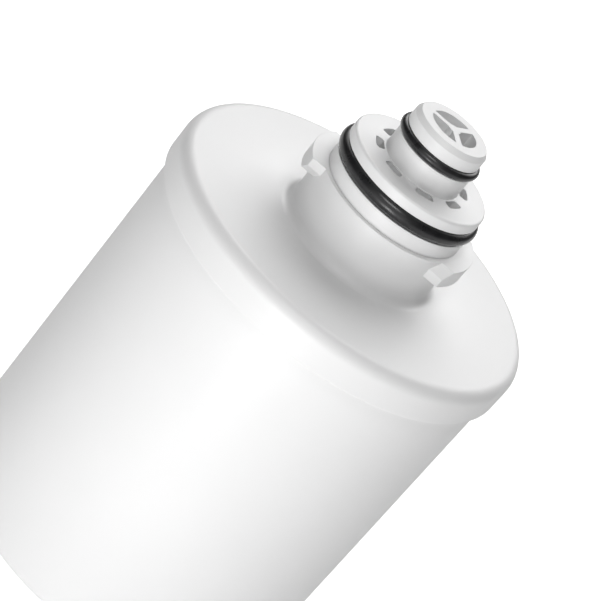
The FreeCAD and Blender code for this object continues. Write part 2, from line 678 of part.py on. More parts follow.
def element_support(doc):
    """The open spider that stands on the shell's floor and carries the element."""
    body = new_body(doc, "element_support")
    ring_bore = total(S["foot_ring_radius"], "-" + S["foot_ring_wall"])
    turned(body, "support_ring", ring_outline(ring_bore, S["foot_ring_radius"], S["shell_floor"], FOOT_TOP))
    turned(body, "support_hub", ring_outline("0", S["foot_hub_radius"], S["shell_floor"], FOOT_TOP))
    sketch = new_sketch(body, "support_arm_outline", "XY_Plane", S["shell_floor"])
    half = S["foot_arm"] + " / 2"
    reach = total(SHELL_BORE, "-" + S["shell_inner_round"], "-" + S["foot_arm_gap"])
    draw(sketch, [corner("0", "-" + half), corner(reach, "-" + half), corner(reach, half), corner("0", half)])
    arm = body.newObject("PartDesign::Pad", "support_arm")
    arm.Profile = sketch
    arm.setExpression("Length", S["foot_height"])
    doc.recompute()
    patterned(body, "support_arms", arm, S["foot_arm_count"])
    return body


def plain_rings(doc):
    """The pieces of the element that are plain tubes and layers."""
    return [
        plain_ring(doc, "carbon_block", BLOCK_BORE, BLOCK_RADIUS, BLOCK_BOTTOM, BLOCK_TOP),
        plain_ring(doc, "core_fleece", S["core_radius"], BLOCK_BORE, BLOCK_BOTTOM, BLOCK_TOP),
        plain_ring(doc, "prefilter_fleece", BLOCK_RADIUS, NET_BORE, BLOCK_BOTTOM, BLOCK_TOP),
        plain_ring(doc, "top_bond", CORE_BORE, NET_BORE, BLOCK_TOP, TOP_PLATE_BOTTOM),
        plain_ring(doc, "bottom_bond", CORE_BORE, NET_BORE, BOTTOM_PLATE_TOP, BLOCK_BOTTOM),
    ]


def o_rings(doc):
    """The two outside O-rings and the two of the element."""
    large_height = total(LARGE_GLAND_BOTTOM, "(%s) / 2" % LARGE_GLAND_WIDTH)
    small_height = total(SMALL_GLAND_BOTTOM, "(%s) / 2" % SMALL_GLAND_WIDTH)
    rings = [
        o_ring(doc, "large_o_ring", LARGE_RING_RADIUS, S["large_ring_section"], large_height),
        o_ring(doc, "small_o_ring", SMALL_RING_RADIUS, S["small_ring_section"], small_height),
    ]
    for number in range(2):
        label = "element_o_ring_%d" % (number + 1)
        rings.append(o_ring(doc, label, SOCKET_RADIUS, S["element_ring_section"],
                            element_ring_height(number)))
    return rings


def make_sheet(doc):
    """The spreadsheet of the driving dimensions."""
    sheet = doc.addObject("Spreadsheet::Sheet", "sizes")
    for row, (name, value, note) in enumerate(DIMENSIONS, start=1):
        sheet.set("A%d" % row, name)
        sheet.set("B%d" % row, str(value))
        sheet.set("C%d" % row, note)
        sheet.setAlias("B%d" % row, name)
    doc.recompute()
    return sheet


def check_document(doc, pieces):
    """Stops if any object failed or any piece has no valid solid."""
    for item in doc.Objects:
        if "Invalid" in item.State or "Error" in item.State:
            raise RuntimeError(item.Name + " failed: " + str(item.State))
    for piece in pieces:
        if piece.Shape.isNull() or not piece.Shape.isValid() or len(piece.Shape.Solids) != 1:
            raise RuntimeError(piece.Label + " has no single valid solid")


def main():
    doc = FreeCAD.newDocument("filter_cartridge")
    sheet = make_sheet(doc)
    pieces = [
        body_shell(doc),
        end_cap(doc),
        nose_insert(doc),
        element_top_cap(doc),
        element_bottom_cap(doc),
        core_tube(doc, sheet),
        guard_net(doc, sheet),
        element_support(doc),
    ]
    pieces += plain_rings(doc)
    pieces += o_rings(doc)
    doc.recompute()
    check_document(doc, pieces)
    os.makedirs("parts", exist_ok=True)
    for piece in pieces:
        piece.Shape.exportStep(os.path.join("parts", piece.Label + ".step"))
        print(piece.Label, round(piece.Shape.Volume, 1))


main()
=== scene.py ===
"""Looks of a sealed quick-change water filter cartridge: visible pieces, materials, light, camera.

Lengths are in millimetres and are scaled to metres when a mesh is made.
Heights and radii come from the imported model's boxes where a box gives them.
"""

import math

import bmesh
import bpy
from mathutils import Matrix, Quaternion, Vector
from mathutils.geometry import delaunay_2d_cdt


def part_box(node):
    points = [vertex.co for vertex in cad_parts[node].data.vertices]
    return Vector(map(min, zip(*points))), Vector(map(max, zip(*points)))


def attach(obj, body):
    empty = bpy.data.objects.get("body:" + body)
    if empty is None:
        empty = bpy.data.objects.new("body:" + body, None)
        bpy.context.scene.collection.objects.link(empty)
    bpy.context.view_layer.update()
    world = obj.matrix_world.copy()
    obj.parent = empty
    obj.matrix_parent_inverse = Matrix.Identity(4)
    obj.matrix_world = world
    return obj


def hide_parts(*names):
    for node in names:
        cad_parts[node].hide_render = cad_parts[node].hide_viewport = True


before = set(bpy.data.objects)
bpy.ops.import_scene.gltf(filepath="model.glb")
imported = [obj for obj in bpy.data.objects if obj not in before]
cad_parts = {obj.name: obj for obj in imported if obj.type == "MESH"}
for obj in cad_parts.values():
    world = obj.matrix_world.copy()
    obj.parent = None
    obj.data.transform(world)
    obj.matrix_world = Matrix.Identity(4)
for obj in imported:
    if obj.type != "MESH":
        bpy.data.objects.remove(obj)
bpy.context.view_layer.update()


MM = 0.001
TURN = 2 * math.pi

# How finely curves are divided.
SEGMENTS = 240
ARC_STEPS = 6
LARGE_ARC_STEPS = 10
CORD_STEPS = 64
BORE_ARC_STEPS = 16
HUB_ARC_STEPS = 4
LUG_GRID = 0.8
HOLE_SIDE = 0.35
ON_AXIS = 1e-6
FILL_TOLERANCE = 1e-7
FILL_ONLY_INSIDE = 1


def box_mm(node):
    """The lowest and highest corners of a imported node, in millimetres."""
    low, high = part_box(node)
    return low / MM, high / MM


shell_low, shell_high = box_mm("body_shell")
cap_low, cap_high = box_mm("end_cap")
nose_low, nose_high = box_mm("nose_insert")
large_low, large_high = box_mm("large_o_ring")
small_low, small_high = box_mm("small_o_ring")

# The shell, a closed cup with the dimple of its gate under the floor.
SHELL_RADIUS = shell_high.x
SHELL_TOP = shell_high.z
SHELL_WALL = 2.2
SHELL_FLOOR = 2.8
SHELL_FOOT_ROUND = 2.8
SHELL_INNER_ROUND = 1.6
SHELL_BORE = SHELL_RADIUS - SHELL_WALL
GATE_RADIUS = 1.6
GATE_SLOPE = 0.3
GATE_DEPTH = 0.25
GATE_INNER_ROUND = 0.15
GATE_OUTER_ROUND = 0.2

# The cap: skirt, shoulder and neck.
WELD_GAP = 0.05
SKIRT_HEIGHT = 7.6
SKIRT_ROUND = 2.63
CAP_WALL = 2.6
SHOULDER_FALL = 0.4
INNER_HUB_DEPTH = 4.0
NECK_BORE = 13.9
NECK_WALL = 2.4
NECK_ROOT_ROUND = 2.0
SKIRT_RADIUS = cap_high.x
SKIRT_BOTTOM = cap_low.z
SKIRT_BORE = SHELL_RADIUS + WELD_GAP
RIM_TOP = SKIRT_BOTTOM + SKIRT_HEIGHT
SHOULDER_FOOT = RIM_TOP - SHOULDER_FALL
SHOULDER_UNDERSIDE = SHOULDER_FOOT - CAP_WALL
HUB_BOTTOM = SHOULDER_UNDERSIDE - INNER_HUB_DEPTH
NECK_TOP = cap_high.z
NECK_RADIUS = NECK_BORE + NECK_WALL

# The two bayonet lugs. Their blocks start inside the neck's wall.
LUG_REACH = 2.7
LUG_HEIGHT = 3.8
LUG_HALF_WIDTH = 9.3
LUG_CHAMFER = 1.9
LUG_EDGE = 0.12
# Just under 1, so that the rounded edge's innermost line keeps its corner points apart.
LUG_EDGE_SHARE = 0.999
LUG_SUNK = 1.2
LUG_RADIUS = NECK_RADIUS + LUG_REACH
LUG_BOTTOM = NECK_TOP - LUG_HEIGHT
LUG_ROOT = NECK_BORE + LUG_SUNK

# The O-rings, from their boxes.
LARGE_RING = large_high.x
LARGE_CORD = (large_high.z - large_low.z) / 2
SMALL_RING = small_high.x
SMALL_CORD = (small_high.z - small_low.z) / 2
RING_FLASH = 0.012
RING_FLASH_WIDTH = 0.16

# The nose: band, gland, flange, spigot, gland and tip, and the tubes below.
NECK_LEDGE = 1.0
BAND_HEIGHT = 3.25
LARGE_RING_PLAY = 0.025
FLANGE_SETBACK = 0.1
FLANGE_HEIGHT = 2.4
FLANGE_ROUND = 0.6
SPIGOT_HEIGHT = 4.75
TIP_HEIGHT = 3.5
TIP_SETBACK = 0.2
TIP_CHAMFER_WIDTH = 0.7
TIP_CHAMFER_HEIGHT = 1.1
BAND_RADIUS = NECK_RADIUS - NECK_LEDGE
LARGE_GLAND_BOTTOM = NECK_TOP + BAND_HEIGHT
LARGE_GLAND_TOP = large_high.z + LARGE_RING_PLAY
LARGE_GLAND_FLOOR = LARGE_RING - 2 * LARGE_CORD
FLANGE_RADIUS = BAND_RADIUS - FLANGE_SETBACK
FLANGE_TOP = LARGE_GLAND_TOP + FLANGE_HEIGHT
TIP_TOP = nose_high.z
TIP_BOTTOM = TIP_TOP - TIP_HEIGHT
SMALL_GLAND_BOTTOM = FLANGE_TOP + SPIGOT_HEIGHT
SMALL_GLAND_FLOOR = SMALL_RING - 2 * SMALL_CORD

# The outlet with its ribs, and the socket tube below it.
OUTLET_RADIUS = 5.0
OUTLET_BORE_STEP = 0.05
OUTLET_HUB = 1.35
OUTLET_RIB = 1.4
OUTLET_RIBS = 3
OUTLET_CORNER = 0.14
RIB_DEPTH = 9.0
SOCKET_STEP = 1.35
SOCKET_DEPTH = 11.0
TUBE_WALL = 2.05
RIBS_BOTTOM = TIP_TOP - RIB_DEPTH
SOCKET_RADIUS = OUTLET_RADIUS + SOCKET_STEP
SOCKET_END = nose_low.z + SOCKET_DEPTH
SPIGOT_RADIUS = SOCKET_RADIUS + TUBE_WALL
TIP_RADIUS = SPIGOT_RADIUS - TIP_SETBACK
TIP_FACE_RADIUS = TIP_RADIUS - TIP_CHAMFER_WIDTH
TIP_CHAMFER_FOOT = TIP_TOP - TIP_CHAMFER_HEIGHT

# The inlet slots, and the sleeve round the chamber under them.
SLOT_LEDGE = 0.35
SLOT_WIDTH = 2.05
SLOT_HALF_ANGLE = math.radians(12.2)
SLOT_COUNT = 8
SLOT_CORNER = 0.6
CHAMBER_MARGIN = 0.65
SLEEVE_WALL = 2.4
SLEEVE_DEPTH = 10.0
SLOT_INNER = SPIGOT_RADIUS + SLOT_LEDGE
SLOT_OUTER = SLOT_INNER + SLOT_WIDTH
SLEEVE_BORE = SLOT_OUTER + CHAMBER_MARGIN
SLEEVE_RADIUS = SLEEVE_BORE + SLEEVE_WALL
SLEEVE_BOTTOM = NECK_TOP - SLEEVE_DEPTH

# Small rounds that any moulded edge has, and how far a cutter reaches past what it cuts.
EDGE = 0.2
FINE_EDGE = 0.12
HOLE_EDGE = 0.08
CUT_SPARE = 0.8

# Shading: edges that turn further than this stay sharp, and large faces decide the shading.
SHARP_DEGREES = 40
FACE_WEIGHTING = 100


def turn_between(start, end):
    """The signed angle from one direction to another."""
    return math.atan2(start.x * end.y - start.y * end.x, start.dot(end))


def rounded(corners, steps=ARC_STEPS):
    """The points of a closed outline of (across, up, round) corners, rounds as tangent arcs."""
    points = []
    for index, (across, up, size) in enumerate(corners):
        here = Vector((across, up))
        if not size:
            points.append(here)
            continue
        back = (Vector(corners[index - 1][:2]) - here).normalized()
        ahead = (Vector(corners[(index + 1) % len(corners)][:2]) - here).normalized()
        half = back.angle(ahead) / 2
        middle = here + (back + ahead).normalized() * (size / math.sin(half))
        start = here + back * (size / math.tan(half)) - middle
        end = here + ahead * (size / math.tan(half)) - middle
        turn = turn_between(start, end)
        for step in range(steps + 1):
            points.append(middle + Matrix.Rotation(turn * step / steps, 2) @ start)
    return points


def new_object(name, bm):
    """A scene object from a bmesh in millimetres, with its faces turned outwards."""
    bmesh.ops.recalc_face_normals(bm, faces=bm.faces)
    bm.transform(Matrix.Scale(MM, 4))
    mesh = bpy.data.meshes.new(name)
    bm.to_mesh(mesh)
    bm.free()
    piece = bpy.data.objects.new(name, mesh)
    bpy.context.scene.collection.objects.link(piece)
    return piece


def ring_of(bm, point):
    """One ring of vertices round the axis, or one vertex on it."""
    if point.x < ON_AXIS:
        return [bm.verts.new((0, 0, point.y))]
    angles = [TURN * step / SEGMENTS for step in range(SEGMENTS)]
    return [
        bm.verts.new((point.x * math.cos(angle), point.x * math.sin(angle), point.y))
        for angle in angles
    ]


def join_rings(bm, lower, upper):
    """The band of faces between two rings."""
    if len(lower) == 1 and len(upper) == 1:
        return
    for step in range(SEGMENTS):
        after = (step + 1) % SEGMENTS
        if len(lower) == 1:
            bm.faces.new((lower[0], upper[after], upper[step]))
        elif len(upper) == 1:
            bm.faces.new((lower[step], lower[after], upper[0]))
        else:
            bm.faces.new((lower[step], lower[after], upper[after], upper[step]))


def lathe(name, points):
    """A closed outline turned all the way round the Z axis."""
    bm = bmesh.new()
    rings = [ring_of(bm, point) for point in points]
    for index, ring in enumerate(rings):
        join_rings(bm, ring, rings[(index + 1) % len(rings)])
    return new_object(name, bm)


def outward(points):
    """The outward normal at each point of a closed outline that runs anticlockwise."""
    normals = []
    for index, point in enumerate(points):
        along = points[(index + 1) % len(points)] - points[index - 1]
        normals.append(Vector((along.y, -along.x)).normalized())
    return normals


def inset(points, amount):
    """A closed outline moved inwards, or outwards for a negative amount."""
    return [point - normal * amount for point, normal in zip(points, outward(points))]


def tube_between(bm, layers):
    """Bands of faces through layers of vertices that follow the same outline."""
    for below, above in zip(layers, layers[1:]):
        for index in range(len(below)):
            after = (index + 1) % len(below)
            bm.faces.new((below[index], below[after], above[after], above[index]))


def filled(bm, ring, flat, grid, place):
    """Closes a ring with triangles over a grid of points inside its flat outline.

    place puts a flat point in space.
    """
    edges = [(index, (index + 1) % len(flat)) for index in range(len(flat))]
    low_x = min(p.x for p in flat)
    high_x = max(p.x for p in flat)
    low_y = min(p.y for p in flat)
    high_y = max(p.y for p in flat)
    inner = []
    for row in range(1, max(2, round((high_y - low_y) / grid))):
        for column in range(1, round((high_x - low_x) / grid)):
            spot = Vector((low_x + grid * column, low_y + grid * row))
            if min((spot - p).length for p in flat) > grid / 2 and inside(spot, flat):
                inner.append(spot)
    spots, _, faces, origins, _, _ = delaunay_2d_cdt(
        list(flat) + inner, edges, [], FILL_ONLY_INSIDE, FILL_TOLERANCE)
    verts = []
    for spot, origin in zip(spots, origins):
        known = [o for o in origin if o < len(ring)]
        verts.append(ring[known[0]] if known else bm.verts.new(place(spot)))
    for face in faces:
        bm.faces.new([verts[index] for index in face])


def inside(spot, outline):
    """True if a flat point lies within a closed outline."""
    crossings = 0
    for index, here in enumerate(outline):
        there = outline[(index + 1) % len(outline)]
        if (here.y > spot.y) != (there.y > spot.y):
            across = here.x + (spot.y - here.y) * (there.x - here.x) / (there.y - here.y)
            crossings += spot.x < across
    return crossings % 2 == 1


def divided(points, longest):
    """A closed outline with points added so that no side is longer than the given length."""
    finer = []
    for index, here in enumerate(points):
        there = points[(index + 1) % len(points)]
        pieces = max(1, math.ceil((there - here).length / longest))
        finer += [here.lerp(there, step / pieces) for step in range(pieces)]
    return finer


def lug_block(name, sign):
    """A bayonet lug. Its outer face follows a cylinder, and its outer edges are slightly rounded."""
    corners = [
        (-LUG_HALF_WIDTH, LUG_BOTTOM, LUG_EDGE),
        (LUG_HALF_WIDTH - LUG_CHAMFER, LUG_BOTTOM, LUG_EDGE),
        (LUG_HALF_WIDTH, LUG_BOTTOM + LUG_CHAMFER, LUG_EDGE),
        (LUG_HALF_WIDTH, NECK_TOP, LUG_EDGE),
        (LUG_CHAMFER - LUG_HALF_WIDTH, NECK_TOP, LUG_EDGE),
        (-LUG_HALF_WIDTH, NECK_TOP - LUG_CHAMFER, LUG_EDGE),
    ]
    side = divided(rounded(corners), LUG_GRID / 2)
    bm = bmesh.new()

    def placed(spot, radius, depth=0):
        reach = math.sqrt(radius ** 2 - spot.x ** 2) - depth
        return (sign * reach, sign * spot.x, spot.y)

    layers = [[bm.verts.new(placed(p, LUG_ROOT)) for p in side]]
    for step in range(ARC_STEPS + 1):
        angle = math.pi / 2 * step / ARC_STEPS
        line = inset(side, LUG_EDGE * (1 - math.cos(angle)) * LUG_EDGE_SHARE)
        depth = LUG_EDGE * (1 - math.sin(angle))
        layers.append([bm.verts.new(placed(p, LUG_RADIUS, depth)) for p in line])
    tube_between(bm, layers)
    filled(bm, layers[-1], line, LUG_GRID, lambda spot: placed(spot, LUG_RADIUS))
    filled(bm, layers[0], side, LUG_GRID, lambda spot: placed(spot, LUG_ROOT))
    return new_object(name, bm)


def slot_outline(middle):
    """The flat outline of one curved inlet slot about its middle angle, with rounded corners."""
    half = SLOT_HALF_ANGLE * SLOT_INNER
    unrolled = divided(rounded([
        (-half, SLOT_INNER, SLOT_CORNER),
        (half, SLOT_INNER, SLOT_CORNER),
        (half, SLOT_OUTER, SLOT_CORNER),
        (-half, SLOT_OUTER, SLOT_CORNER),
    ]), HOLE_SIDE)
    turns = [(middle - p.x / SLOT_INNER, p.y) for p in unrolled]
    return [Vector((r * math.cos(angle), r * math.sin(angle))) for angle, r in reversed(turns)]


def outlet_outline(middle):
    """The flat outline of one outlet opening: an arc of the bore, two ribs' sides and the hub."""
    at_hub = math.pi / OUTLET_RIBS - math.asin(OUTLET_RIB / 2 / OUTLET_HUB)
    at_bore = math.pi / OUTLET_RIBS - math.asin(OUTLET_RIB / 2 / OUTLET_RADIUS)
    arcs = (
        (OUTLET_RADIUS, -at_bore, BORE_ARC_STEPS),
        (OUTLET_HUB, at_hub, HUB_ARC_STEPS),
    )
    corners = []
    for radius, start, steps in arcs:
        for step in range(steps + 1):
            angle = middle + start - 2 * start * step / steps
            corner_round = OUTLET_CORNER if step in (0, steps) else 0
            corners.append((radius * math.cos(angle), radius * math.sin(angle), corner_round))
    return rounded(corners)


def hole_cutter(name, flat, top, bottom):
    """A prism that cuts a hole downwards from a face and rounds the hole's edge."""
    bm = bmesh.new()
    layers = [[bm.verts.new((p.x, p.y, bottom)) for p in flat]]
    for step in range(ARC_STEPS + 1):
        angle = math.pi / 2 * step / ARC_STEPS
        line = inset(flat, -HOLE_EDGE * (1 - math.cos(angle)))
        height = top - HOLE_EDGE * (1 - math.sin(angle))
        layers.append([bm.verts.new((p.x, p.y, height)) for p in line])
    layers.append([bm.verts.new((v.co.x, v.co.y, top + CUT_SPARE)) for v in layers[-1]])
    tube_between(bm, layers)
    bm.faces.new(layers[0])
    bm.faces.new(layers[-1])
    return new_object(name, bm)


def combined(piece, others, operation):
    """The piece united with the others or cut by them. The others are used up."""
    for other in others:
        change = piece.modifiers.new(other.name, "BOOLEAN")
        change.object = other
        change.operation = operation
        change.solver = "EXACT"
    return applied(piece, others)


def applied(piece, used=()):
    """Turns a piece's modifiers into its mesh and removes the objects that they used."""
    shape = piece.evaluated_get(bpy.context.evaluated_depsgraph_get())
    mesh = bpy.data.meshes.new_from_object(shape)
    piece.modifiers.clear()
    old = piece.data
    piece.data = mesh
    mesh.name = piece.name
    bpy.data.meshes.remove(old)
    for other in used:
        spare = other.data
        bpy.data.objects.remove(other)
        bpy.data.meshes.remove(spare)
    return piece


def smoothed(piece):
    """Smooth shading that keeps flat faces flat next to their rounded edges."""
    piece.data.shade_smooth()
    piece.data.set_sharp_from_angle(angle=math.radians(SHARP_DEGREES))
    weighting = piece.modifiers.new("weighted_normals", "WEIGHTED_NORMAL")
    weighting.keep_sharp = True
    weighting.weight = FACE_WEIGHTING
    return applied(piece)


def finished(piece, material, slot, *nodes):
    """Gives a piece its finish, ties it to the body and hides the imported nodes that it stands for.
    """
    piece.data.materials.clear()
    piece.data.materials.append(material)
    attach(piece, "root")
    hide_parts(*nodes)


# ---------------------------------------------------------------- materials

RAMP_START = 0.3
RAMP_END = 0.7
FLOW_SHADE = 0.985
GLOSS_SPREAD = 0.03
FIBRE_SHADE = 0.86
FIBRE_STRETCH = (1.0, 1.0, 0.2)


def shader_of(name, colour, roughness):
    """A new material's node tree and its Principled shader, with the plain values set."""
    material = bpy.data.materials.new(name)
    material.use_nodes = True
    tree = material.node_tree
    shader = tree.nodes["Principled BSDF"]
    shader.inputs["Base Color"].default_value = (*colour, 1)
    shader.inputs["Roughness"].default_value = roughness
    return material, tree, shader


def node(tree, kind, **values):
    """A new node with the given input values."""
    made = tree.nodes.new(kind)
    for name, value in values.items():
        made.inputs[name.replace("_", " ")].default_value = value
    return made


def noise_of(tree, scale, detail):
    """A noise in object space. The scale is in features per metre."""
    place = tree.nodes.new("ShaderNodeTexCoord")
    noise = node(tree, "ShaderNodeTexNoise", Scale=scale, Detail=detail, Roughness=0.55)
    tree.links.new(place.outputs["Object"], noise.inputs["Vector"])
    return noise


def ranged(tree, source, low, high):
    """A source between 0 and 1 brought between two values."""
    spread = node(tree, "ShaderNodeMapRange", To_Min=low, To_Max=high)
    tree.links.new(source, spread.inputs["Value"])
    return spread.outputs["Result"]


def tinted(tree, shader, source, first, second):
    """Colours a shader between two colours by a source between 0 and 1."""
    ramp = tree.nodes.new("ShaderNodeValToRGB")
    stops = ((RAMP_START, first), (RAMP_END, second))
    for element, (position, colour) in zip(ramp.color_ramp.elements, stops):
        element.position = position
        element.color = (*colour, 1)
    tree.links.new(source, ramp.inputs["Fac"])
    tree.links.new(ramp.outputs["Color"], shader.inputs["Base Color"])


def bumped(tree, shader, source, distance):
    """Raises the surface by a source. The distance is in metres."""
    bump = node(tree, "ShaderNodeBump", Strength=1.0, Distance=distance)
    tree.links.new(source, bump.inputs["Height"])
    tree.links.new(bump.outputs["Normal"], shader.inputs["Normal"])


def moulded_plastic(name, colour, roughness, grain):
    """Moulded polypropylene: faint flow shades, a fine eroded grain and slightly uneven gloss."""
    material, tree, shader = shader_of(name, colour, roughness)
    shader.inputs["IOR"].default_value = 1.49
    flow = noise_of(tree, scale=45.0, detail=2.0)
    tinted(tree, shader, flow.outputs["Fac"], [c * FLOW_SHADE for c in colour], colour)
    gloss = noise_of(tree, scale=260.0, detail=3.0)
    gloss_range = ranged(
        tree, gloss.outputs["Fac"], roughness - GLOSS_SPREAD, roughness + GLOSS_SPREAD)
    tree.links.new(gloss_range, shader.inputs["Roughness"])
    fine = noise_of(tree, scale=2600.0, detail=2.0)
    bumped(tree, shader, fine.outputs["Fac"], grain)
    return material


def seal_rubber():
    """Black nitrile rubber with a slight bloom and a moulded grain."""
    material, tree, shader = shader_of("seal_rubber", (0.018, 0.018, 0.019), roughness=0.28)
    shader.inputs["IOR"].default_value = 1.5
    bloom = noise_of(tree, scale=420.0, detail=2.0)
    tinted(tree, shader, bloom.outputs["Fac"], (0.013, 0.013, 0.014), (0.024, 0.024, 0.025))
    gloss = noise_of(tree, scale=500.0, detail=2.0)
    tree.links.new(ranged(tree, gloss.outputs["Fac"], 0.25, 0.31), shader.inputs["Roughness"])
    fine = noise_of(tree, scale=5200.0, detail=2.0)
    bumped(tree, shader, fine.outputs["Fac"], distance=0.000003)
    return material


def pressed_carbon():
    """Bonded carbon: dark grains with small glints."""
    material, tree, shader = shader_of("pressed_carbon", (0.02, 0.02, 0.021), roughness=0.75)
    place = tree.nodes.new("ShaderNodeTexCoord")
    grains = node(tree, "ShaderNodeTexVoronoi", Scale=2400.0)
    tree.links.new(place.outputs["Object"], grains.inputs["Vector"])
    tinted(tree, shader, grains.outputs["Distance"], (0.035, 0.035, 0.037), (0.012, 0.012, 0.013))
    bumped(tree, shader, grains.outputs["Distance"], distance=0.00012)
    return material


def fleece(name, colour):
    """Non-woven fleece: stretched fibres and a soft sheen."""
    material, tree, shader = shader_of(name, colour, 0.95)
    shader.inputs["Sheen Weight"].default_value = 0.3
    place = tree.nodes.new("ShaderNodeTexCoord")
    stretch = tree.nodes.new("ShaderNodeMapping")
    stretch.inputs["Scale"].default_value = FIBRE_STRETCH
    fibres = node(tree, "ShaderNodeTexNoise", Scale=3200.0, Detail=6.0, Distortion=1.4)
    tree.links.new(place.outputs["Object"], stretch.inputs["Vector"])
    tree.links.new(stretch.outputs["Vector"], fibres.inputs["Vector"])
    tinted(tree, shader, fibres.outputs["Fac"], [c * FIBRE_SHADE for c in colour], colour)
    bumped(tree, shader, fibres.outputs["Fac"], distance=0.00015)
    return material


def hot_melt():
    """Waxy adhesive, amber, uneven."""
    material, tree, shader = shader_of("hot_melt", (0.72, 0.62, 0.40), roughness=0.35)
    shader.inputs["Subsurface Weight"].default_value = 0.2
    shader.inputs["Subsurface Radius"].default_value = (0.002, 0.0015, 0.0008)
    swirl = noise_of(tree, scale=300.0, detail=4.0)
    tinted(tree, shader, swirl.outputs["Fac"], (0.66, 0.55, 0.33), (0.76, 0.66, 0.45))
    bumped(tree, shader, swirl.outputs["Fac"], distance=0.0003)
    return material


# ---------------------------------------------------------------- pieces


def body_shell(material):
    """The cup: side wall, rounded foot and the gate's small dimple under the floor."""
    points = rounded([
        (0, GATE_DEPTH, 0),
        (GATE_RADIUS, GATE_DEPTH, GATE_INNER_ROUND),
        (GATE_RADIUS + GATE_SLOPE, 0, GATE_OUTER_ROUND),
        (SHELL_RADIUS, 0, SHELL_FOOT_ROUND),
        (SHELL_RADIUS, SHELL_TOP, EDGE),
        (SHELL_BORE, SHELL_TOP, EDGE),
        (SHELL_BORE, SHELL_FLOOR, SHELL_INNER_ROUND),
        (0, SHELL_FLOOR, 0),
    ], LARGE_ARC_STEPS)
    shell = smoothed(lathe("shell", points))
    finished(shell, material, "shell_white", "body_shell")


def end_cap(material):
    """The cap with its skirt, shoulder, neck and two bayonet lugs."""
    underside = RIM_TOP - CAP_WALL
    cap = lathe("cap", rounded([
        (NECK_BORE, HUB_BOTTOM, EDGE),
        (NECK_RADIUS, HUB_BOTTOM, EDGE),
        (NECK_RADIUS, SHOULDER_UNDERSIDE, 0),
        (SHELL_BORE, underside, 0),
        (SHELL_BORE, SHELL_TOP, 0),
        (SKIRT_BORE, SHELL_TOP, 0),
        (SKIRT_BORE, SKIRT_BOTTOM, FINE_EDGE),
        (SKIRT_RADIUS, SKIRT_BOTTOM, EDGE),
        (SKIRT_RADIUS, RIM_TOP, SKIRT_ROUND),
        (NECK_RADIUS, SHOULDER_FOOT, NECK_ROOT_ROUND),
        (NECK_RADIUS, NECK_TOP, EDGE),
        (NECK_BORE, NECK_TOP, FINE_EDGE),
    ], LARGE_ARC_STEPS))
    lugs = [lug_block("lug_right", 1), lug_block("lug_left", -1)]
    combined(cap, lugs, "UNION")
    finished(smoothed(cap), material, "cap_white", "end_cap")


def nose_outline():
    """The section of the nose, from the ribs' underside round the outside to the end face."""
    return rounded([
        (0, RIBS_BOTTOM, 0),
        (OUTLET_RADIUS + OUTLET_BORE_STEP, RIBS_BOTTOM, 0),
        (OUTLET_RADIUS + OUTLET_BORE_STEP, SOCKET_END, FINE_EDGE),
        (SOCKET_RADIUS, SOCKET_END, 0),
        (SOCKET_RADIUS, nose_low.z, EDGE),
        (SPIGOT_RADIUS, nose_low.z, EDGE),
        (SPIGOT_RADIUS, LARGE_GLAND_TOP, EDGE),
        (SLEEVE_BORE, LARGE_GLAND_TOP, EDGE),
        (SLEEVE_BORE, SLEEVE_BOTTOM, EDGE),
        (SLEEVE_RADIUS, SLEEVE_BOTTOM, EDGE),
        (SLEEVE_RADIUS, NECK_TOP, 0),
        (BAND_RADIUS, NECK_TOP, FINE_EDGE),
        (BAND_RADIUS, LARGE_GLAND_BOTTOM, EDGE),
        (LARGE_GLAND_FLOOR, LARGE_GLAND_BOTTOM, EDGE),
        (LARGE_GLAND_FLOOR, LARGE_GLAND_TOP, EDGE),
        (FLANGE_RADIUS, LARGE_GLAND_TOP, EDGE),
        (FLANGE_RADIUS, FLANGE_TOP, FLANGE_ROUND),
        (SPIGOT_RADIUS, FLANGE_TOP, FINE_EDGE),
        (SPIGOT_RADIUS, SMALL_GLAND_BOTTOM, FINE_EDGE),
        (SMALL_GLAND_FLOOR, SMALL_GLAND_BOTTOM, FINE_EDGE),
        (SMALL_GLAND_FLOOR, TIP_BOTTOM, FINE_EDGE),
        (TIP_RADIUS, TIP_BOTTOM, FINE_EDGE),
        (TIP_RADIUS, TIP_CHAMFER_FOOT, HOLE_EDGE),
        (TIP_FACE_RADIUS, TIP_TOP, HOLE_EDGE),
        (0, TIP_TOP, 0),
    ])


def hole_cutters():
    """Cutters for the openings between the outlet's ribs and for the ring of inlet slots."""
    below_ribs = RIBS_BOTTOM - CUT_SPARE
    below_flange = LARGE_GLAND_TOP - CUT_SPARE
    cutters = []
    for index in range(OUTLET_RIBS):
        outline = outlet_outline(TURN * index / OUTLET_RIBS)
        cutters.append(hole_cutter("outlet_%d" % index, outline, TIP_TOP, below_ribs))
    for index in range(SLOT_COUNT):
        outline = slot_outline(TURN * (index + 0.5) / SLOT_COUNT)
        cutters.append(hole_cutter("slot_%d" % index, outline, FLANGE_TOP, below_flange))
    return cutters


def nose(material):
    """The nose with its outlet openings and inlet slots."""
    insert = lathe("nose", nose_outline())
    combined(insert, hole_cutters(), "DIFFERENCE")
    finished(smoothed(insert), material, "nose_white", "nose_insert")


def o_ring(name, outside, cord, height, material, replaced):
    """An O-ring with the fine flash line that its mould leaves at the outside and the inside."""
    middle = outside - cord
    points = []
    for step in range(CORD_STEPS):
        angle = TURN * step / CORD_STEPS
        from_line = abs(math.sin(angle)) * cord
        flash = RING_FLASH * math.exp(-(from_line / RING_FLASH_WIDTH) ** 2)
        reach = cord - RING_FLASH + flash
        across = middle + reach * math.cos(angle)
        points.append(Vector((across, height + reach * math.sin(angle))))
    ring = smoothed(lathe(name, points))
    finished(ring, material, "seal_rubber", replaced)


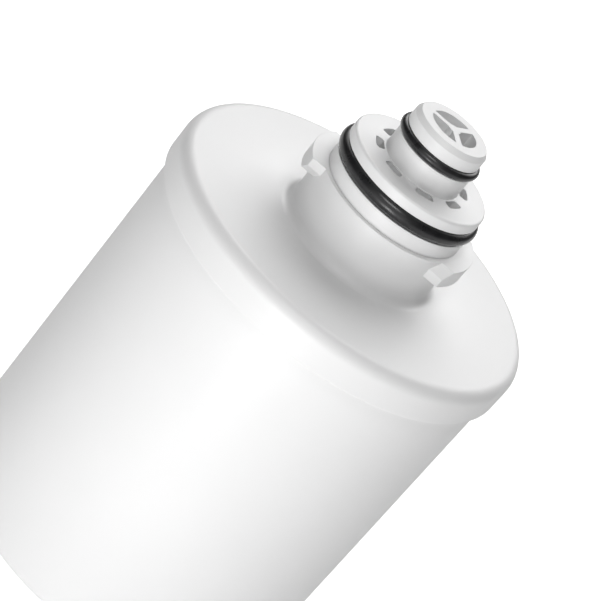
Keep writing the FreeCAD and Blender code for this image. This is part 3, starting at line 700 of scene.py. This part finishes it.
def dress_inner_nodes():
    """Finishes of the filter element sealed inside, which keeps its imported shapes."""
    element = moulded_plastic("element_plastic", (0.78, 0.79, 0.78), roughness=0.5, grain=0.00002)
    net = moulded_plastic("net_plastic", (0.80, 0.82, 0.83), roughness=0.45, grain=0.00003)
    carbon = pressed_carbon()
    wool = fleece("fleece", (0.84, 0.84, 0.81))
    bond = hot_melt()
    rubber = bpy.data.materials["seal_rubber"]
    finishes = {
        "element_top_cap": element,
        "element_bottom_cap": element,
        "element_support": element,
        "core_tube": element,
        "guard_net": net,
        "carbon_block": carbon,
        "core_fleece": wool,
        "prefilter_fleece": wool,
        "top_bond": bond,
        "bottom_bond": bond,
        "element_o_ring_1": rubber,
        "element_o_ring_2": rubber,
    }
    for name, material in finishes.items():
        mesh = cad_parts[name].data
        mesh.materials.clear()
        mesh.materials.append(material)


def object_pieces():
    """Every visible piece of the cartridge."""
    white = moulded_plastic("white_plastic", (0.86, 0.86, 0.86), roughness=0.42, grain=0.000006)
    rubber = seal_rubber()
    body_shell(white)
    end_cap(white)
    nose(white)
    large_middle = (large_low.z + large_high.z) / 2
    small_middle = (small_low.z + small_high.z) / 2
    o_ring("large_ring", LARGE_RING, LARGE_CORD, large_middle, rubber, "large_o_ring")
    o_ring("small_ring", SMALL_RING, SMALL_CORD, small_middle, rubber, "small_o_ring")
    dress_inner_nodes()


# ---------------------------------------------------------------- floor, light and camera

FLOOR_RADIUS = 6000.0
FLOOR_RINGS = (0.05, 0.2, 0.5, 1.0)

# How bright the surroundings and the floor are as light on the object, and as the camera sees them.
SURROUND_LIGHT = 0.0
SURROUND_SEEN = 1.0
FLOOR_LIGHT = 0.44
FLOOR_SEEN = 0.93

# Soft lights: name, azimuth from the camera's, elevation, distance, side and power in watts.
LIGHTS = [
    ("front", 0, 14, 700, 800, 1.75),
    ("front_above", 0, 60, 900, 300, 2.05),
    ("front_low", 0, -5, 400, 60, 0.2),
    ("front_near", 0, -17, 200, 60, 0.1),
    ("rear_above", 180, 45, 900, 900, 6.5),
    ("rear_left", -150, 35, 900, 500, 0.9),
    ("rear_right", 150, 35, 900, 500, 0.75),
]

# The camera: angles in degrees, lens in millimetres, clip distances in metres.
CAMERA_TARGET = (-1.421, -4.078, 70.072)
CAMERA_DISTANCE = 455.470
CAMERA_AZIMUTH = -88.285
CAMERA_ELEVATION = 26.705
CAMERA_ROLL = 39.97
CAMERA_LENS = 140.745
CAMERA_CLIP = (0.01, 100)


def two_brightnesses(tree, kind, lights, seen):
    """A plain white glow that lights the object with one strength and is seen with another."""
    path = tree.nodes.new("ShaderNodeLightPath")
    choice = tree.nodes.new("ShaderNodeMixShader")
    bright = node(tree, kind, Color=(1, 1, 1, 1), Strength=seen)
    bright.name = "seen"
    dim = node(tree, kind, Color=(1, 1, 1, 1), Strength=lights)
    dim.name = "lights"
    tree.links.new(path.outputs["Is Camera Ray"], choice.inputs[0])
    tree.links.new(dim.outputs[0], choice.inputs[1])
    tree.links.new(bright.outputs[0], choice.inputs[2])
    return choice.outputs[0]


def pale_floor():
    """A wide plain floor that glows softly, so that it stays evenly pale."""
    bm = bmesh.new()
    rings = []
    for share in FLOOR_RINGS:
        rings.append(ring_of(bm, Vector((FLOOR_RADIUS * share, 0))))
    middle = ring_of(bm, Vector((0, 0)))
    for lower, upper in zip([middle] + rings, rings):
        join_rings(bm, lower, upper)
    floor = new_object("floor", bm)
    material, tree, shader = shader_of("pale_floor", (0.5, 0.5, 0.5), roughness=0.9)
    both = tree.nodes.new("ShaderNodeAddShader")
    glow = two_brightnesses(tree, "ShaderNodeEmission", FLOOR_LIGHT, FLOOR_SEEN)
    tree.links.new(glow, both.inputs[0])
    tree.links.new(shader.outputs[0], both.inputs[1])
    tree.links.new(both.outputs[0], tree.nodes["Material Output"].inputs["Surface"])
    floor.data.materials.append(material)
    return floor


def direction(azimuth, elevation):
    """The unit vector that points at an azimuth, measured from +X, and an elevation, in degrees."""
    flat = math.cos(math.radians(elevation))
    return Vector((
        flat * math.cos(math.radians(azimuth)),
        flat * math.sin(math.radians(azimuth)),
        math.sin(math.radians(elevation)),
    ))


def soft_light(name, azimuth, elevation, distance, size, strength):
    """A square area light that faces the middle of the object."""
    data = bpy.data.lights.new(name, "AREA")
    data.shape = "SQUARE"
    data.size = size * MM
    data.energy = strength
    light = bpy.data.objects.new(name, data)
    way = direction(azimuth, elevation)
    light.location = (Vector(CAMERA_TARGET) + way * distance) * MM
    light.rotation_euler = way.to_track_quat("Z", "Y").to_euler()
    bpy.context.scene.collection.objects.link(light)
    return light


def studio():
    """Even surroundings and the soft lights."""
    world = bpy.data.worlds.new("studio")
    bpy.context.scene.world = world
    world.use_nodes = True
    tree = world.node_tree
    glow = two_brightnesses(tree, "ShaderNodeBackground", SURROUND_LIGHT, SURROUND_SEEN)
    tree.links.new(glow, tree.nodes["World Output"].inputs["Surface"])
    for name, turn, elevation, distance, side, power in LIGHTS:
        soft_light(name, CAMERA_AZIMUTH + turn, elevation, distance, side, power)
    bpy.context.scene.view_settings.view_transform = "Standard"


def camera():
    """The camera, rolled so that the object's axis points to the upper right."""
    data = bpy.data.cameras.new("camera")
    data.lens = CAMERA_LENS
    data.clip_start, data.clip_end = CAMERA_CLIP
    eye = bpy.data.objects.new("camera", data)
    way = direction(CAMERA_AZIMUTH, CAMERA_ELEVATION)
    eye.location = (Vector(CAMERA_TARGET) + way * CAMERA_DISTANCE) * MM
    level = (-way).to_track_quat("-Z", "Y")
    eye.rotation_mode = "QUATERNION"
    eye.rotation_quaternion = level @ Quaternion((0, 0, 1), math.radians(CAMERA_ROLL))
    bpy.context.scene.collection.objects.link(eye)
    bpy.context.scene.camera = eye


camera()
object_pieces()
pale_floor()
studio()
